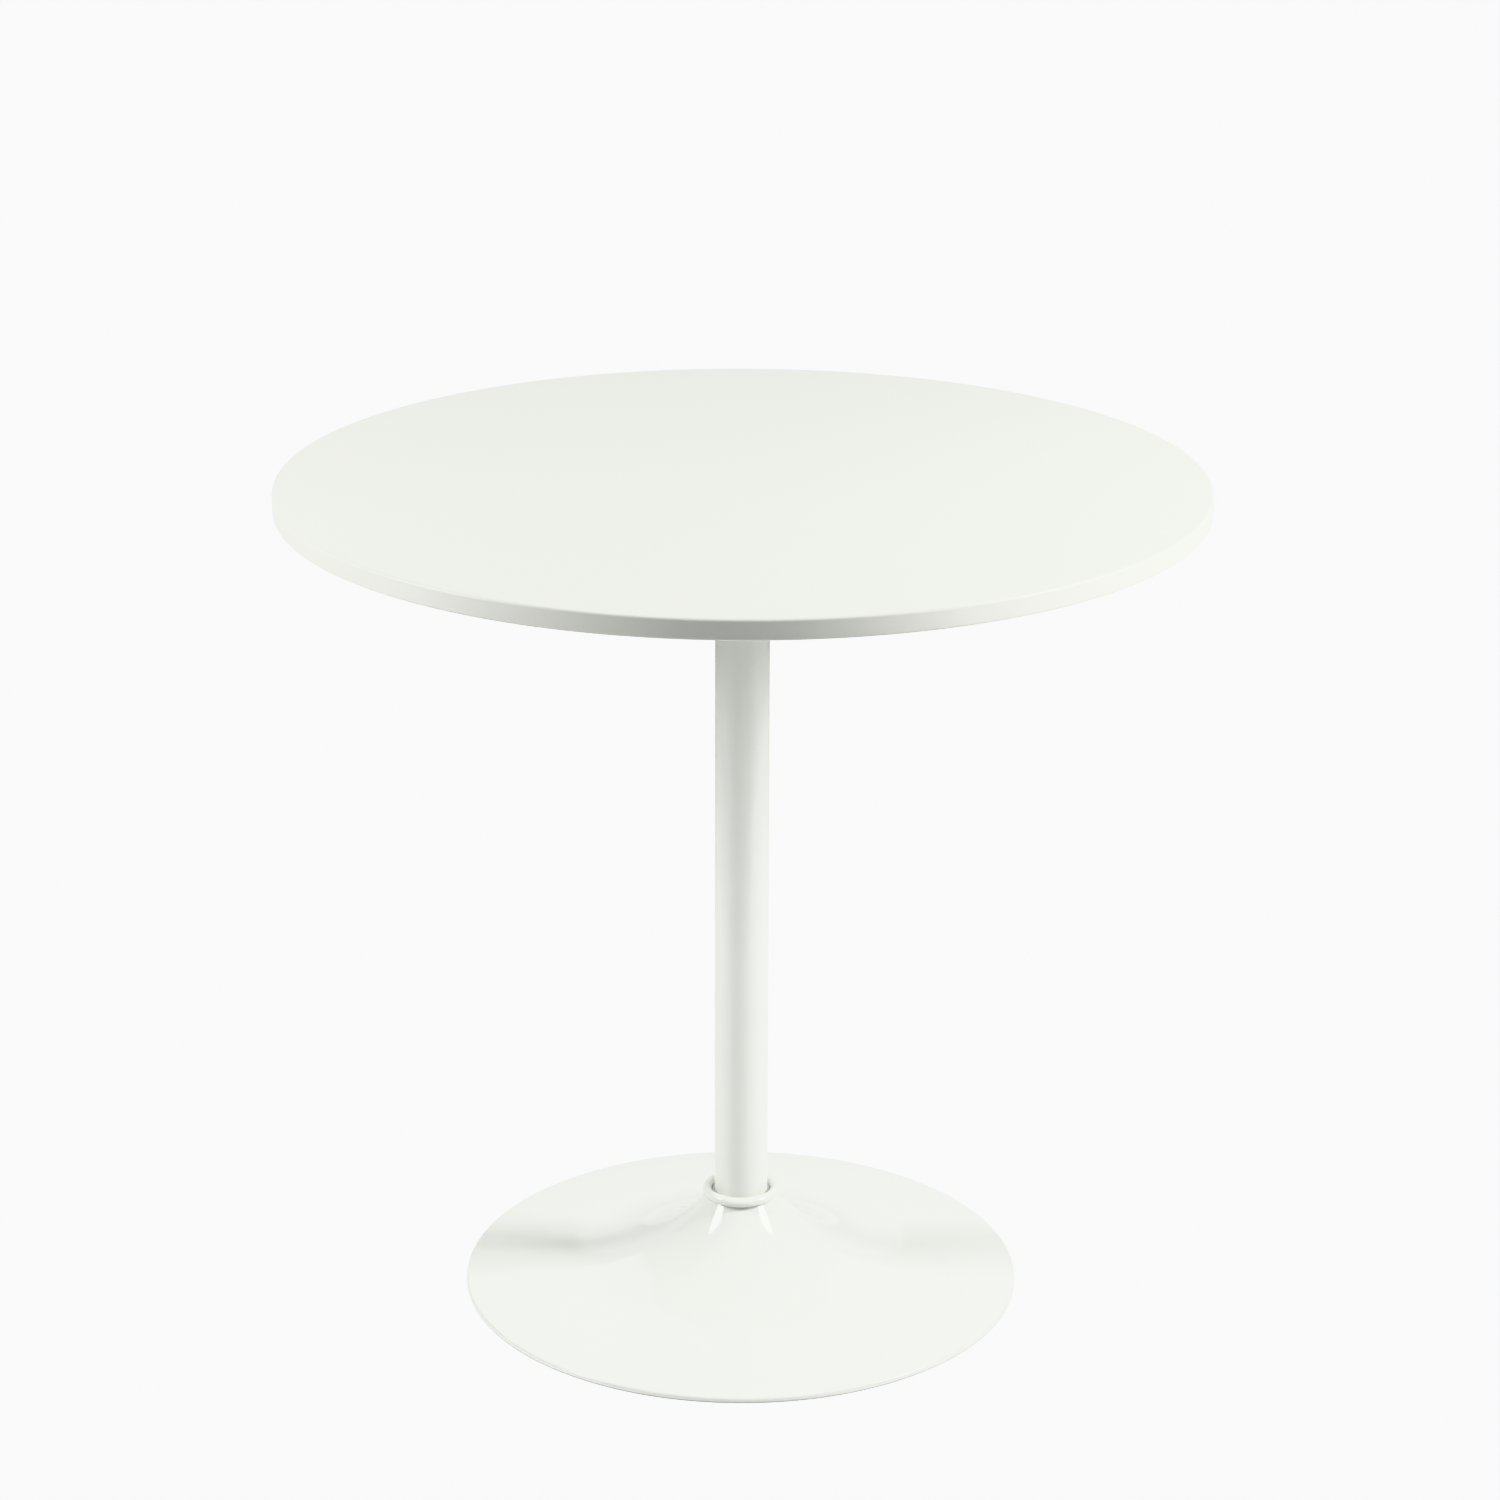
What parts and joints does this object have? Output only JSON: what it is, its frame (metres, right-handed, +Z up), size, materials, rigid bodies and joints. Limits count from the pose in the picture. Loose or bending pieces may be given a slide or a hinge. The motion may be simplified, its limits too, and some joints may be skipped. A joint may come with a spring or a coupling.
{
  "type": "round pedestal table",
  "caption": "Round white pedestal table with a lacquered board top, a slim tube column and a wide, weighted trumpet base of spun steel.",
  "frame": {"origin": "centre of the round footprint on the floor, under the column's axis", "axes": "+Z up along the column; +X and +Y are level and have no special direction, the table being round"},
  "size_m": [0.7999, 0.8, 0.75],
  "materials": {
    "top_lacquer": "white satin lacquer on MDF",
    "white_coat": "white gloss powder coat on steel",
    "zinc_plate": "bright zinc plate",
    "turned_steel": "turned and oiled",
    "cast_iron": "sand-cast, black primer",
    "grey_coat": "dark grey primer coat",
    "black_plastic": "moulded, fine matt grain",
    "pale_vinyl": "soft extruded vinyl"
  },
  "bodies": {
    "root": {"table_top": "top_lacquer", "top_inserts": "zinc_plate", "mounting_plate": "white_coat", "mounting_washers": "zinc_plate", "mounting_screws": "zinc_plate", "head_bolts": "zinc_plate", "head_plug": "turned_steel", "column_tube": "white_coat", "foot_plug": "turned_steel", "foot_pins": "turned_steel", "neck_bush": "pale_vinyl", "base_shell": "white_coat", "shell_ring": "turned_steel", "shell_screws": "zinc_plate", "ballast_weight": "cast_iron", "foot_washer": "zinc_plate", "foot_spring_washer": "zinc_plate", "foot_bolt": "zinc_plate", "base_plate": "grey_coat", "base_plate_screws": "zinc_plate", "access_cap": "black_plastic", "rim_seal": "pale_vinyl"}
  },
  "joints": []
}
